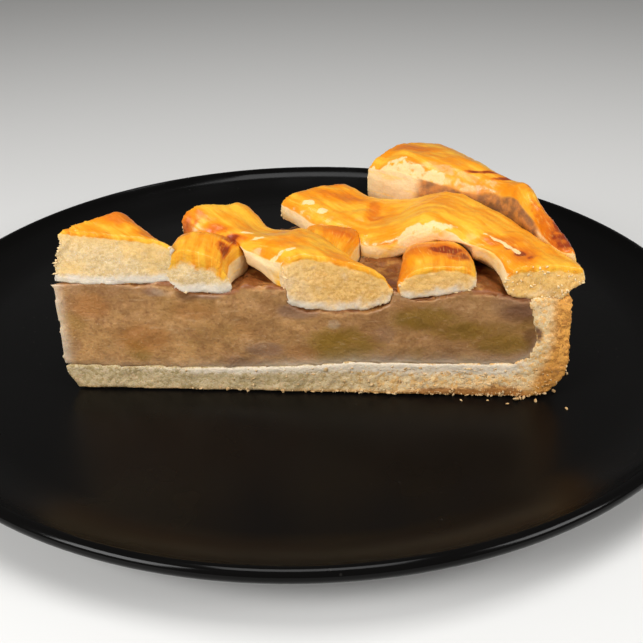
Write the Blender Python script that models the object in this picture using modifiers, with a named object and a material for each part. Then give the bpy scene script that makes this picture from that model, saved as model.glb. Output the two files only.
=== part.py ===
"""A slice of lattice-topped apple pie together with the dish it is served on.

Metres, +Z up. The origin is the centre of the plate's foot, on the table.
The slice has its own pie frame: u runs from the tip along the near cut face,
v runs across the slice, and z is measured from the underside of the crust.
"""
import math
from collections import namedtuple

import bmesh
import bpy
from mathutils import Matrix, Vector, noise

MM = 0.001
GAP = 0.3 * MM

# Driving dimensions of the pie
PIE_RADIUS = 130.0 * MM
SLICE_ANGLE = math.radians(36.0)
BASE_THICKNESS = 7.0 * MM
BASE_EDGE_THICKNESS = 9.8 * MM
WALL_HEIGHT = 29.0 * MM
WALL_THICKNESS = 9.0 * MM
WALL_FOOT_RADIUS = 9.5 * MM
WALL_BULGE = 1.2 * MM
FILLING_HEIGHT = 31.0 * MM
LID_HEIGHT = 50.0 * MM
LID_OVERHANG = 2.4 * MM

# Driving dimensions of the plate
PLATE_RADIUS = 118.1 * MM
PLATE_FLOOR_RADIUS = 97.0 * MM
PLATE_FLOOR_HEIGHT = 7.0 * MM
PLATE_RIM_RISE = 8.5 * MM
PLATE_LIP = 3.6 * MM
FOOT_HEIGHT = 2.4 * MM
FOOT_RADIUS = 70.0 * MM
FOOT_WIDTH = 6.0 * MM

# Where the slice lies on the plate
TIP_X = -62.2 * MM
TIP_Y = -38.2 * MM
SLICE_YAW = math.radians(-3.8)

# Relief and mesh steps
CUT_STEP = 4.5 * MM
CUT_RELIEF = 0.45 * MM
DOUGH_RELIEF = 0.5 * MM
FILLING_RELIEF = 0.8 * MM
STRIP_STEP = 3.9 * MM
STRIP_SIDES = 16
PIE_TURN_STEPS = 104
PLATE_TURN_STEPS = 72

# One station of a lattice strip, in millimetres of the pie frame. The tilts are
# how much higher the left side is than the middle, seen along the strip
Station = namedtuple("Station", "u v width underside thickness top_tilt under_tilt")

# Strips that run across the slice and lie on the filling, near end first
UNDER_STRIPS = {
    "strip_under_1": (
        Station(38, -9, 18, 29.6, 9.4, 2.8, 0.0),
        Station(38, 0, 18, 29.6, 10.0, 2.8, 0.0),
        Station(38, 9, 18, 29.6, 11.6, 2.2, 0.0),
        Station(38, 17, 17, 28.5, 8.0, 1.0, 0.0),
        Station(38, 24, 17, 28.0, 5.8, 0.0, 0.0),
        Station(38, 42, 17, 27.5, 5.8, 0.0, 0.0),
    ),
    "strip_under_2": (
        Station(69, 6, 15, 27.0, 5.5, 0.0, 0.0),
        Station(69, 14, 16, 27.5, 9.4, 1.2, 0.0),
        Station(69, 24, 16, 28.0, 10.2, 0.8, 0.0),
        Station(69, 33, 16, 28.0, 6.0, 0.0, 0.0),
        Station(69, 66, 16, 27.0, 6.0, 0.0, 0.0),
    ),
    "strip_under_3": (
        Station(98, -9, 16, 29.6, 8.0, 0.0, -1.4),
        Station(98, 0, 16, 29.6, 8.2, 0.0, -1.4),
        Station(98, 11, 16, 29.6, 7.2, 0.0, -0.7),
        Station(98, 22, 16, 28.5, 6.6, 0.0, 0.0),
        Station(98, 44, 16, 29.0, 8.4, 0.0, 0.0),
        Station(98, 56, 16, 28.0, 6.3, 0.0, 0.0),
        Station(98, 96, 16, 28.0, 6.0, 0.0, 0.0),
    ),
}

# Strips that lie over those, each listed from its far end to its near end
OVER_STRIPS = {
    "strip_over_1": (
        Station(-8, 16.5, 23, 31.4, 14.4, 0.0, 0.0),
        Station(4, 7.5, 23, 31.6, 15.8, 0.6, 0.0),
        Station(13.5, 0.5, 23, 31.4, 13.8, 0.0, 0.0),
        Station(27, -10.5, 23, 32.5, 12.0, 0.0, 0.0),
    ),
    "strip_over_2": (
        Station(25, 36.5, 20, 33.8, 8.6, 0.0, 0.0),
        Station(36.5, 27, 20, 33.8, 8.8, 0.0, 0.0),
        Station(47, 19.2, 18, 31.0, 9.4, 0.0, 0.0),
        Station(60, 12.2, 20.5, 28.2, 12.2, -0.6, 0.0),
        Station(71.5, 0, 18, 25.0, 14.4, -3.0, 1.2),
        Station(85.5, -11, 18, 25.0, 13.4, -3.0, 1.2),
    ),
    "strip_over_3": (
        Station(50, 60, 24, 33.0, 7.5, 0.0, 0.0),
        Station(64, 45, 24, 33.3, 8.0, 0.0, 0.0),
        Station(81, 33.5, 27, 27.6, 9.4, 0.0, 0.0),
        Station(97, 29, 27, 35.0, 8.6, 0.0, 0.0),
        Station(109, 22.5, 22, 31.6, 9.6, 0.0, 0.0),
        Station(118, 12, 18, 29.4, 9.6, 0.0, 0.0),
        Station(124, 0, 20, 29.4, 8.8, 0.0, 0.0),
        Station(127, -9, 20, 29.4, 8.8, 0.0, 0.0),
    ),
    "strip_over_4": (
        Station(77, 88, 36, 29.6, 17.6, -4.5, 0.0),
        Station(92.5, 67.5, 36, 29.6, 18.2, -4.0, 0.0),
        Station(104.5, 57.5, 29, 29.6, 18.0, -1.0, 0.0),
        Station(113, 49.5, 20, 29.6, 16.4, 0.0, 0.0),
        Station(120.5, 42, 14, 29.4, 15.4, 0.0, 0.0),
        Station(127.5, 26, 10, 29.4, 12.8, 0.0, 0.0),
        Station(131.0, 9, 8, 29.4, 9.0, 0.0, 0.0),
    ),
}

# An over strip that gives way to another one, and the strips that reach the wall
OVER_NEIGHBOURS = {"strip_over_4": ("strip_over_3",)}
WALL_STRIPS = ("strip_under_3", "strip_over_3", "strip_over_4")


def make_material(name, colour, roughness, metallic=0.0):
    material = bpy.data.materials.new(name)
    material.use_nodes = True
    shader = material.node_tree.nodes["Principled BSDF"]
    shader.inputs["Base Color"].default_value = (*colour, 1.0)
    shader.inputs["Roughness"].default_value = roughness
    shader.inputs["Metallic"].default_value = metallic
    material.diffuse_color = (*colour, 1.0)
    return material


def clear_scene():
    for old in list(bpy.data.objects):
        bpy.data.objects.remove(old, do_unlink=True)


def new_collection(name):
    collection = bpy.data.collections.new(name)
    bpy.context.scene.collection.children.link(collection)
    return collection


def add_object(name, mesh, collection, material=None):
    item = bpy.data.objects.new(name, mesh)
    collection.objects.link(item)
    if material is not None:
        mesh.materials.clear()
        mesh.materials.append(material)
    return item


def finish_mesh(work, name):
    """Write a bmesh out as a mesh of triangles, which cut more cleanly."""
    bmesh.ops.triangulate(work, faces=work.faces)
    mesh = bpy.data.meshes.new(name)
    work.to_mesh(mesh)
    work.free()
    return mesh


def make_cutter(item):
    item.hide_render = True
    item.display_type = "WIRE"


def bake(item, name):
    """Return the evaluated mesh of an object as a new mesh."""
    bpy.context.view_layer.update()
    depsgraph = bpy.context.evaluated_depsgraph_get()
    mesh = bpy.data.meshes.new_from_object(item.evaluated_get(depsgraph))
    mesh.name = name
    return mesh


def turned_mesh(name, profile, steps, collection):
    """Turn a profile of (radius, height) points about Z into a closed mesh."""
    mesh = bpy.data.meshes.new(name)
    points = [(radius, 0.0, height) for radius, height in profile]
    edges = [(i, i + 1) for i in range(len(points) - 1)]
    mesh.from_pydata(points, edges, [])
    item = add_object(name + "_profile", mesh, collection)
    screw = item.modifiers.new("Turn", "SCREW")
    screw.angle = 2.0 * math.pi
    screw.steps = steps
    screw.render_steps = steps
    screw.use_merge_vertices = True
    screw.merge_threshold = 0.00001
    work = bmesh.new()
    work.from_mesh(bake(item, name))
    bpy.data.objects.remove(item, do_unlink=True)
    return finish_mesh(work, name)


def arc(centre, radius, start, end, count):
    """Points on an arc from one angle to another, in degrees."""
    angles = [math.radians(start + (end - start) * i / count) for i in range(count + 1)]
    return [(centre[0] + radius * math.cos(a), centre[1] + radius * math.sin(a)) for a in angles]


def spread(start, end, step):
    """Points on a straight run, about one step apart, without its last point."""
    length = math.dist(start, end)
    count = max(1, round(length / step))
    return [
        (start[0] + (end[0] - start[0]) * i / count, start[1] + (end[1] - start[1]) * i / count)
        for i in range(count)
    ]


def rough(point, seed, grain):
    """Seeded noise between about -1 and 1 at two sizes."""
    place = point / grain + Vector((seed * 7.3, seed * 3.1, seed * 5.7))
    return noise.noise(place) + 0.6 * noise.noise(place * 2.3)


def boolean(item, cutter, operation, solver):
    cut = item.modifiers.new(operation.title(), "BOOLEAN")
    cut.operation = operation
    cut.solver = solver
    cut.object = cutter


def keep_largest_body(mesh):
    """Remove the loose chips that a cut leaves beside the main body."""
    work = bmesh.new()
    work.from_mesh(mesh)
    bmesh.ops.remove_doubles(work, verts=work.verts, dist=0.00002)
    unseen = set(work.verts)
    bodies = []
    while unseen:
        start = unseen.pop()
        body = {start}
        front = [start]
        while front:
            vertex = front.pop()
            for edge in vertex.link_edges:
                other = edge.other_vert(vertex)
                if other in unseen:
                    unseen.remove(other)
                    body.add(other)
                    front.append(other)
        bodies.append(body)
    bodies.sort(key=len, reverse=True)
    for body in bodies[1:]:
        bmesh.ops.delete(work, geom=list(body), context="VERTS")
    bmesh.ops.triangulate(work, faces=work.faces)
    work.to_mesh(mesh)
    work.free()


def carve(item, differences, intersections, solver="EXACT"):
    """Cut an object by its neighbours, then trim it, and keep the result."""
    for cutter in differences:
        boolean(item, cutter, "DIFFERENCE", solver)
    for cutter in intersections:
        boolean(item, cutter, "INTERSECT", solver)
    carved = bake(item, item.data.name)
    item.modifiers.clear()
    item.data = carved
    keep_largest_body(carved)


def base_top_profile(lift):
    """The crust's upper surface from the centre to the foot of the wall."""
    inner = PIE_RADIUS - WALL_THICKNESS
    corner = inner - 4.5 * MM
    rise = (BASE_THICKNESS + lift, BASE_EDGE_THICKNESS + lift)
    points = [(0.0, rise[0]), (40.0 * MM, rise[0]), (58.0 * MM, rise[0] + 0.8 * MM)]
    points += [(76.0 * MM, rise[1] - 0.3 * MM), (corner, rise[1])]
    return points


def wall_inner_profile(offset):
    """The inside of the wall, bottom to top, moved towards the pie's centre."""
    inner = PIE_RADIUS - WALL_THICKNESS - offset
    return [
        (inner, BASE_EDGE_THICKNESS + 2.2 * MM + offset * 0.6),
        (inner + 1.8 * MM, BASE_EDGE_THICKNESS + 7.5 * MM),
        (inner + 0.6 * MM, WALL_HEIGHT - 7.5 * MM),
        (inner - 0.8 * MM, WALL_HEIGHT - 1.5 * MM),
    ]


def crust_profile():
    outer = PIE_RADIUS
    foot = WALL_FOOT_RADIUS
    points = base_top_profile(0.0) + wall_inner_profile(0.0)
    points.append((outer - WALL_THICKNESS, WALL_HEIGHT))
    points += [(outer - 4.5 * MM, WALL_HEIGHT), (outer - 1.2 * MM, WALL_HEIGHT - 0.4 * MM)]
    bulged = outer + WALL_BULGE
    points += spread((outer, WALL_HEIGHT - 1.8 * MM), (bulged, 0.55 * WALL_HEIGHT), CUT_STEP)
    points += spread((bulged, 0.55 * WALL_HEIGHT), (bulged, foot), CUT_STEP)
    points += arc((bulged - foot, foot), foot, 0.0, -90.0, 5)
    points += [(outer * 0.6, 0.0), (0.0, 0.0)]
    return points


def filling_profile():
    """The heap of apple from its middle to the wall, then back along the base."""
    rim = PIE_RADIUS - WALL_THICKNESS - GAP - 0.8 * MM
    shoulder = (rim - 16.0 * MM, FILLING_HEIGHT)
    points = spread((0.0, FILLING_HEIGHT), shoulder, 2.0 * CUT_STEP)
    points += spread(shoulder, (rim, WALL_HEIGHT), 1.5 * CUT_STEP) + [(rim, WALL_HEIGHT)]
    points += list(reversed(wall_inner_profile(GAP)))
    points += list(reversed(base_top_profile(GAP)))
    return points


def lid_profile():
    """The rounded envelope that trims the lattice at the pie's edge."""
    edge = PIE_RADIUS + LID_OVERHANG
    top = LID_HEIGHT
    under = WALL_HEIGHT - 8.0 * MM
    points = [(0.0, top), (edge - 22.0 * MM, top - 0.6 * MM), (edge - 13.0 * MM, top - 2.6 * MM)]
    points += [(edge - 7.0 * MM, top - 5.2 * MM), (edge - 3.4 * MM, top - 8.4 * MM)]
    points += [(edge - 1.0 * MM, top - 12.0 * MM), (edge, top - 15.5 * MM)]
    points += [(edge - 1.0 * MM, top - 17.6 * MM), (edge - 2.4 * MM, WALL_HEIGHT + 0.3 * MM)]
    points += [(edge - 2.4 * MM, under), (0.0, under)]
    return points


def plate_profile():
    """The plate from the middle of its floor, over the rim, to its foot."""
    floor = PLATE_FLOOR_HEIGHT
    lip = PLATE_LIP / 2.0
    rim_top = floor + PLATE_RIM_RISE
    reach = PLATE_RADIUS - lip - PLATE_FLOOR_RADIUS
    rise = PLATE_RIM_RISE - lip * 0.5
    steps = 5
    points = [(0.0, floor)]
    for i in range(steps):
        share = i / steps
        points.append((PLATE_FLOOR_RADIUS + reach * share, floor + rise * share ** 1.9))
    points += arc((PLATE_RADIUS - lip, rim_top - lip), lip, 108.0, -52.0, 5)
    ring_out = FOOT_RADIUS + FOOT_WIDTH / 2.0
    ring_in = FOOT_RADIUS - FOOT_WIDTH / 2.0
    under = FOOT_HEIGHT
    points += [(PLATE_RADIUS - 10.0 * MM, floor + 1.6 * MM), (PLATE_RADIUS - 21.0 * MM, under + 1.2 * MM)]
    points += [(ring_out + 8.0 * MM, under), (ring_out + 0.4 * MM, under - 0.3 * MM)]
    points += [(ring_out - 0.5 * MM, 0.0), (ring_in + 0.5 * MM, 0.0)]
    points += [(ring_in - 0.4 * MM, under), (0.0, under)]
    return points


def cut_wedge_mesh():
    """A tall wedge whose two cut faces are crumbly and meet at the tip."""
    reach = PIE_RADIUS + 14.0 * MM
    low = -4.0 * MM
    high = LID_HEIGHT + 6.0 * MM
    columns = round(reach / CUT_STEP)
    rows = round((high - low) / CUT_STEP)
    work = bmesh.new()

    def face_vertex(column, row, turn, seed):
        distance = reach * column / columns
        height = low + (high - low) * row / rows
        grain = Vector((distance, turn * 20.0 * MM, height))
        relief = CUT_RELIEF * rough(grain, seed, 5.0 * MM)
        along = distance + CUT_RELIEF * rough(grain, seed + 9, 5.0 * MM)
        place = Matrix.Rotation(turn, 4, "Z") @ Vector((along, relief, height))
        return work.verts.new(place)

    near = []
    far = []
    for row in range(rows + 1):
        tip = face_vertex(0, row, SLICE_ANGLE / 2.0, 3)
        near.append([tip] + [face_vertex(c, row, 0.0, 1) for c in range(1, columns + 1)])
        far.append([tip] + [face_vertex(c, row, SLICE_ANGLE, 2) for c in range(1, columns + 1)])
    for row in range(rows):
        for column in range(columns):
            below, above = near[row], near[row + 1]
            work.faces.new((below[column], below[column + 1], above[column + 1], above[column]))
            below, above = far[row], far[row + 1]
            work.faces.new((below[column + 1], below[column], above[column], above[column + 1]))
        work.faces.new((near[row][-1], far[row][-1], far[row + 1][-1], near[row + 1][-1]))
    for row, flip in ((0, True), (rows, False)):
        for column in range(columns):
            corners = [near[row][column], near[row][column + 1], far[row][column + 1], far[row][column]]
            corners = list(dict.fromkeys(corners))
            work.faces.new(reversed(corners) if flip else corners)
    return finish_mesh(work, "cut_wedge")


def spline_value(values, t):
    """Value of a Catmull-Rom curve through a list, at t from 0 to its last index."""
    last = len(values) - 1
    i = min(int(t), last - 1)
    f = t - i
    a = values[max(i - 1, 0)]
    b = values[i]
    c = values[i + 1]
    d = values[min(i + 2, last)]
    return 0.5 * (2 * b + (c - a) * f + (2 * a - 5 * b + 4 * c - d) * f ** 2 + (3 * b - a - 3 * c + d) * f ** 3)


def strip_stations(stations):
    """Even stations along a strip, interpolated between the listed ones."""
    columns = list(zip(*stations))
    length = sum(math.dist(a[:2], b[:2]) for a, b in zip(stations, stations[1:])) * MM
    count = round(length / STRIP_STEP)
    last = len(stations) - 1
    return [
        Station(*(spline_value(column, last * i / count) for column in columns))
        for i in range(count + 1)
    ]


def strip_ring(station, heading, seed, grow):
    """The strip's cross section: a domed top, a flat underside, steep sides."""
    across = Vector((-math.sin(heading), math.cos(heading), 0.0))
    up = Vector((0.0, 0.0, 1.0))
    centre = Vector((station.u, station.v, 0.0)) * MM
    half = station.width * MM / 2.0
    low = station.underside * MM
    high = low + station.thickness * MM
    middle = low + 0.4 * (high - low)
    ring = []
    for i in range(STRIP_SIDES):
        angle = 2.0 * math.pi * i / STRIP_SIDES
        c = math.cos(angle)
        s = math.sin(angle)
        side = math.copysign(abs(c) ** 0.5, c)
        if s > 0.0:
            height = middle + (high - middle) * s ** 0.8 + station.top_tilt * MM * side
        else:
            height = middle - (middle - low) * (-s) ** 0.35 + station.under_tilt * MM * side
        place = centre + across * half * side + up * height
        outward = (across * c + up * s).normalized()
        relief = DOUGH_RELIEF * rough(place, seed, 8.0 * MM)
        ring.append(place + outward * (relief + grow))
    return ring


def strip_mesh(name, stations, seed, grow):
    """A loft of unlike sections along the strip, closed at both ends."""
    dense = strip_stations(stations)
    work = bmesh.new()
    rings = []
    for i, station in enumerate(dense):
        before = dense[max(i - 1, 0)]
        after = dense[min(i + 1, len(dense) - 1)]
        heading = math.atan2(after.v - before.v, after.u - before.u)
        rings.append([work.verts.new(p) for p in strip_ring(station, heading, seed, grow)])
    for ring, after in zip(rings, rings[1:]):
        for i in range(STRIP_SIDES):
            j = (i + 1) % STRIP_SIDES
            work.faces.new((ring[i], ring[j], after[j], after[i]))
    work.faces.new(reversed(rings[0]))
    work.faces.new(rings[-1])
    bmesh.ops.recalc_face_normals(work, faces=work.faces)
    return finish_mesh(work, name)


def ruffle(mesh, seed, grain, depth, wanted):
    """Move the chosen vertices of a turned mesh by seeded noise along their normals."""
    for vertex in mesh.vertices:
        if wanted(vertex.co):
            vertex.co += vertex.normal * depth * rough(vertex.co.copy(), seed, grain)


def make_crust(parts, cutters, wedge, pressed):
    mesh = turned_mesh("crust", crust_profile(), PIE_TURN_STEPS, cutters)
    outside = PIE_RADIUS - WALL_THICKNESS * 0.6

    def on_wall(place):
        return math.hypot(place.x, place.y) > outside and 3.0 * MM < place.z < WALL_HEIGHT - 1.0 * MM

    ruffle(mesh, 21, 7.0 * MM, 1.4 * DOUGH_RELIEF, on_wall)
    material = make_material("baked_crust", (0.72, 0.47, 0.22), 0.8)
    item = add_object("crust", mesh, parts, material)
    carve(item, pressed, [wedge])
    return item


def make_filling(parts, cutters, wedge, pressed):
    mesh = turned_mesh("filling", filling_profile(), PIE_TURN_STEPS, cutters)

    def on_top(place):
        return place.z > WALL_HEIGHT and math.hypot(place.x, place.y) < PIE_RADIUS * 0.92

    ruffle(mesh, 31, 9.0 * MM, FILLING_RELIEF, on_top)
    material = make_material("apple_filling", (0.38, 0.22, 0.11), 0.45)
    item = add_object("filling", mesh, parts, material)
    carve(item, pressed, [wedge], "MANIFOLD")
    return item


def make_strips(parts, cutters, wedge, lid):
    """Lay the lattice; the enlarged copies are the room it needs below it."""
    material = make_material("lattice_dough", (0.83, 0.52, 0.2), 0.55)
    rooms = {}
    strips = {}
    names = list(UNDER_STRIPS) + list(OVER_STRIPS)
    for seed, name in enumerate(names, start=41):
        stations = {**UNDER_STRIPS, **OVER_STRIPS}[name]
        strips[name] = add_object(name, strip_mesh(name, stations, seed, 0.0), parts, material)
        mesh = strip_mesh(name + "_room", stations, seed, GAP)
        rooms[name] = add_object(name + "_room", mesh, cutters)
        make_cutter(rooms[name])
    for name in names:
        neighbours = [] if name in UNDER_STRIPS else list(UNDER_STRIPS)
        neighbours += OVER_NEIGHBOURS.get(name, ())
        carve(strips[name], [rooms[other] for other in neighbours], [lid, wedge])
    return strips, rooms


def make_plate(parts, cutters):
    mesh = turned_mesh("plate", plate_profile(), PLATE_TURN_STEPS, cutters)
    material = make_material("black_glaze", (0.012, 0.012, 0.013), 0.14)
    item = add_object("plate", mesh, parts, material)
    mesh.shade_smooth()
    mesh.set_sharp_from_angle(angle=math.radians(40.0))
    return item


def place_slice(items):
    """Stand the slice on the plate, a hair above its floor."""
    lift = Vector((TIP_X, TIP_Y, PLATE_FLOOR_HEIGHT + GAP))
    stand = Matrix.Translation(lift) @ Matrix.Rotation(SLICE_YAW, 4, "Z")
    for item in items:
        item.data.transform(stand)


def main():
    clear_scene()
    parts = new_collection("apple_pie_slice_on_plate")
    cutters = new_collection("cutters")
    wedge = add_object("cut_wedge", cut_wedge_mesh(), cutters)
    lid = add_object("lid_envelope", turned_mesh("lid", lid_profile(), PIE_TURN_STEPS, cutters), cutters)
    make_cutter(wedge)
    make_cutter(lid)
    strips, rooms = make_strips(parts, cutters, wedge, lid)
    crust = make_crust(parts, cutters, wedge, [rooms[name] for name in WALL_STRIPS])
    filling = make_filling(parts, cutters, wedge, rooms.values())
    place_slice([crust, filling, *strips.values()])
    make_plate(parts, cutters)


main()
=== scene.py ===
"""A slice of lattice apple pie on its black plate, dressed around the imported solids."""
import math
import random

import bpy
import numpy as np
from mathutils import Matrix, Vector


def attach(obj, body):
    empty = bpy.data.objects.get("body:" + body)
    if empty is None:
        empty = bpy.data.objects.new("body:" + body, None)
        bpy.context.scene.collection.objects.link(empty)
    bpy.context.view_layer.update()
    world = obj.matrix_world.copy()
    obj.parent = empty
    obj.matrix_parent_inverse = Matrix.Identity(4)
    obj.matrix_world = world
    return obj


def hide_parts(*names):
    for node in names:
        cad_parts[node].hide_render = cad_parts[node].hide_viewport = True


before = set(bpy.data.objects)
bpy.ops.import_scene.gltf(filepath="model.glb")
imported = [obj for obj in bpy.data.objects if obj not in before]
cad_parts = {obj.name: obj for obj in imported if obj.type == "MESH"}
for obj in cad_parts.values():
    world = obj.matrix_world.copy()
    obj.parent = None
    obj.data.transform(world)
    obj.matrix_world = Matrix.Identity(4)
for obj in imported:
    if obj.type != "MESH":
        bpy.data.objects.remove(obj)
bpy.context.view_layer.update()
bpy.ops.object.select_all(action="DESELECT")

# The plate
# Stoneware, turned on a wheel and dipped in a black gloss glaze, with a flat floor,
# a low rim that rises in one curve, a rounded lip and a foot ring that is wiped bare.
PLATE_RADIUS = 0.11805
FLOOR_RADIUS = 0.097
FLOOR_HEIGHT = 0.007
RIM_RISE = 0.0085
RIM_STEPS = 11
# The rim's curve stops this far below the lip, which then turns from and by these angles
BELOW_LIP = 0.0009
LIP_RADIUS = 0.0018
LIP_START = 108
LIP_TURN = 160
LIP_STEPS = 12
# Radius and height of the rings under the rim, from the lip inwards
UNDER_RIM = ((0.1125, 0.0102), (0.1078, 0.0084), (0.102, 0.0056), (0.097, 0.0036), (0.091, 0.0027))
FOOT_RING = (0.0675, 0.0725)
FOOT_LIFT = 0.0024
PLATE_SIDES = 192
SMOOTH_BELOW = math.radians(32)
GLAZE_BLACK = (0.0025, 0.0023, 0.0022, 1.0)
GLAZE_FLECK = (0.012, 0.011, 0.01, 1.0)
GLAZE_LOOK = {"Specular IOR Level": 0.12}


def plate_rings():
    """Radius and height of each ring, from the middle of the floor to the middle of the underside."""
    rings = [(0.012, FLOOR_HEIGHT), (0.05, FLOOR_HEIGHT), (FLOOR_RADIUS - 0.006, FLOOR_HEIGHT)]
    reach = PLATE_RADIUS - LIP_RADIUS - FLOOR_RADIUS
    for step in range(RIM_STEPS):
        share = step / RIM_STEPS
        rings.append((FLOOR_RADIUS + reach * share, FLOOR_HEIGHT + (RIM_RISE - BELOW_LIP) * share ** 1.9))
    for step in range(LIP_STEPS + 1):
        turn = math.radians(LIP_START - LIP_TURN * step / LIP_STEPS)
        rings.append((
            PLATE_RADIUS - LIP_RADIUS + LIP_RADIUS * math.cos(turn),
            FLOOR_HEIGHT + RIM_RISE - LIP_RADIUS + LIP_RADIUS * math.sin(turn),
        ))
    rings += list(UNDER_RIM) + [(0.0805, FOOT_LIFT), (0.0731, FOOT_LIFT - 0.0002)]
    rings += [(FOOT_RING[1] + 0.0002, 0.0004), (FOOT_RING[1] - 0.0003, 0.0)]
    rings += [(FOOT_RING[0] + 0.0003, 0.0), (FOOT_RING[0] - 0.0002, 0.0004)]
    rings += [(FOOT_RING[0] - 0.0008, FOOT_LIFT), (0.03, FOOT_LIFT), (0.012, FOOT_LIFT)]
    return rings


def turn_on_wheel(name, rings, sides):
    """Draw a ring outwards and over through each radius and height, then close both middles."""
    radius, height = rings[0]
    bpy.ops.mesh.primitive_circle_add(
        vertices=sides, radius=radius, fill_type="NOTHING", location=(0, 0, height),
    )
    piece = bpy.context.object
    piece.name = name
    bpy.ops.object.mode_set(mode="EDIT")
    bpy.ops.mesh.select_mode(type="EDGE")
    bpy.ops.mesh.select_all(action="SELECT")
    for next_radius, next_height in rings[1:]:
        bpy.ops.mesh.extrude_edges_move()
        scale = next_radius / radius
        bpy.ops.transform.resize(value=(scale, scale, 1.0), center_override=(0, 0, height))
        bpy.ops.transform.translate(value=(0, 0, next_height - height))
        radius, height = next_radius, next_height
    bpy.ops.mesh.select_all(action="SELECT")
    bpy.ops.mesh.region_to_loop()
    bpy.ops.mesh.fill_holes(sides=0)
    bpy.ops.mesh.select_all(action="SELECT")
    bpy.ops.mesh.normals_make_consistent(inside=False)
    bpy.ops.object.mode_set(mode="OBJECT")
    bpy.ops.object.transform_apply(location=True, rotation=True, scale=True)
    bpy.ops.object.shade_smooth_by_angle(angle=SMOOTH_BELOW)
    return piece


def add(tree, kind, inputs=None, **settings):
    """Add a shader node, set it up, and link or fill the named inputs."""
    node = tree.nodes.new(kind)
    for key, value in settings.items():
        setattr(node, key, value)
    for key, value in (inputs or {}).items():
        if isinstance(value, bpy.types.NodeSocket):
            tree.links.new(value, node.inputs[key])
        else:
            node.inputs[key].default_value = value
    return node


def calc(tree, operation, *values):
    """A Math node on sockets or numbers."""
    inputs = dict(enumerate(values))
    return add(tree, "ShaderNodeMath", inputs, operation=operation).outputs[0]


def plus(tree, first, second):
    """The sum of two values."""
    return calc(tree, "ADD", first, second)


def times(tree, first, second):
    """One value times another."""
    return calc(tree, "MULTIPLY", first, second)


def ease(tree, value, low, high, start=0.0, end=1.0):
    """Smooth step of a value from one limit to the other."""
    inputs = {"Value": value, "From Min": low, "From Max": high, "To Min": start, "To Max": end}
    return add(tree, "ShaderNodeMapRange", inputs, interpolation_type="SMOOTHSTEP").outputs[0]


def blend(tree, factor, first, second):
    """Mix two colours by a factor."""
    return add(tree, "ShaderNodeMix", {0: factor, 6: first, 7: second}, data_type="RGBA").outputs[2]


def noise(tree, place, scale, detail, roughness=0.5):
    """A cloudy pattern between 0 and 1."""
    inputs = {"Vector": place, "Scale": scale, "Detail": detail, "Roughness": roughness}
    return add(tree, "ShaderNodeTexNoise", inputs).outputs[0]


def new_material(name):
    """A material with its Principled shader, and the object's own coordinates."""
    material = bpy.data.materials.new(name)
    material.use_nodes = True
    tree = material.node_tree
    place = add(tree, "ShaderNodeTexCoord").outputs["Object"]
    return material, tree, tree.nodes["Principled BSDF"], place


def set_all_over(shader, look):
    """Set the sockets whose value is the same all over the surface."""
    for socket, value in look.items():
        shader.inputs[socket].default_value = value


def wire(tree, shader, **links):
    """Feed the shader's sockets, whose names have spaces where the keywords have none."""
    names = {"base": "Base Color", "rough": "Roughness", "coat": "Coat Weight", "normal": "Normal"}
    for key, socket in links.items():
        tree.links.new(socket, shader.inputs[names[key]])


def finish_piece(piece, material, nodes):
    """Give a piece its material and stand it in for its solids."""
    piece.data.materials.clear()
    piece.data.materials.append(material)
    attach(piece, "root")
    if nodes:
        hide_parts(*nodes)


def black_glaze():
    """Near-black glaze with faint flecks, a little glossier on the rim than on the floor."""
    material, tree, shader, place = new_material("black_stoneware_glaze")
    fleck = add(tree, "ShaderNodeTexVoronoi", {"Vector": place, "Scale": 260.0}).outputs["Distance"]
    cloud = noise(tree, place, 30.0, 3.0)
    speck = times(tree, ease(tree, fleck, 0.1, 0.04), ease(tree, cloud, 0.5, 0.62))
    wave = noise(tree, place, 45.0, 2.0)
    reach = add(tree, "ShaderNodeVectorMath", {0: place}, operation="LENGTH").outputs["Value"]
    floor_rough = ease(tree, wave, 0.3, 0.7, 0.26, 0.34)
    rim_gloss = ease(tree, reach, 0.11, 0.1165, 0.0, 0.17)
    set_all_over(shader, GLAZE_LOOK)
    bump = add(tree, "ShaderNodeBump", {"Height": wave, "Strength": 0.02, "Distance": 0.0003})
    wire(
        tree, shader,
        base=blend(tree, speck, GLAZE_BLACK, GLAZE_FLECK),
        rough=calc(tree, "SUBTRACT", floor_rough, rim_gloss),
        normal=bump.outputs[0],
    )
    return material


plate = turn_on_wheel("plate_glazed", plate_rings(), PLATE_SIDES)
finish_piece(plate, black_glaze(), ["plate"])

# The crust
# Shortcrust pressed into a deep round tin and baked: pale and close inside where the
# knife went through it, sandy and golden where it touched the tin.
TIP = np.array((-0.0622, -0.0382, 0.0073))
YAW = math.radians(-3.8)
SLICE_ANGLE = math.radians(36.0)
# How far along the slice its tip is taken to reach, in mm
TIP_ENDS = (0.0, 9.0)
PIE_RADIUS = 130.0
CRUST_VOXEL = 0.0005
BRIM_SWELL = 0.0011
SEAM_SWELL = 0.0003
CRUST_TIP_PULL = -0.0023
# Depths of the baked skin under the pie's radius, and of the wall's pale inner layer, in mm
SKIN_DEPTHS = (4.0, 1.5)
LINING_DEPTHS = (5.0, 2.0)
# How far the pressed edge along the filling reaches, in mm, and where it fades out near the wall
SEAM_REACH = 1.4
INNER_SEAM_REACH = 1.2
SEAM_FADE = (114.0, 125.0)
BRIM_HEIGHTS = (26.0, 28.5)
# Texture, grain size, depth in metres, group and middle of each relief
CRUST_RELIEF = {
    "crust_lumps": ("CLOUDS", 0.0035, 0.0006, "loose"),
    "crust_grain": ("VORONOI", 0.0013, -0.0011, "wall", 0.35),
    "crust_pits": ("CLOUDS", 0.0011, 0.0008, "cut"),
}
# A knife cut is what faces its way, within this many mm of its plane
CUT_FACING = (0.45, 0.8)
CUT_REACH = 1.3
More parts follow.
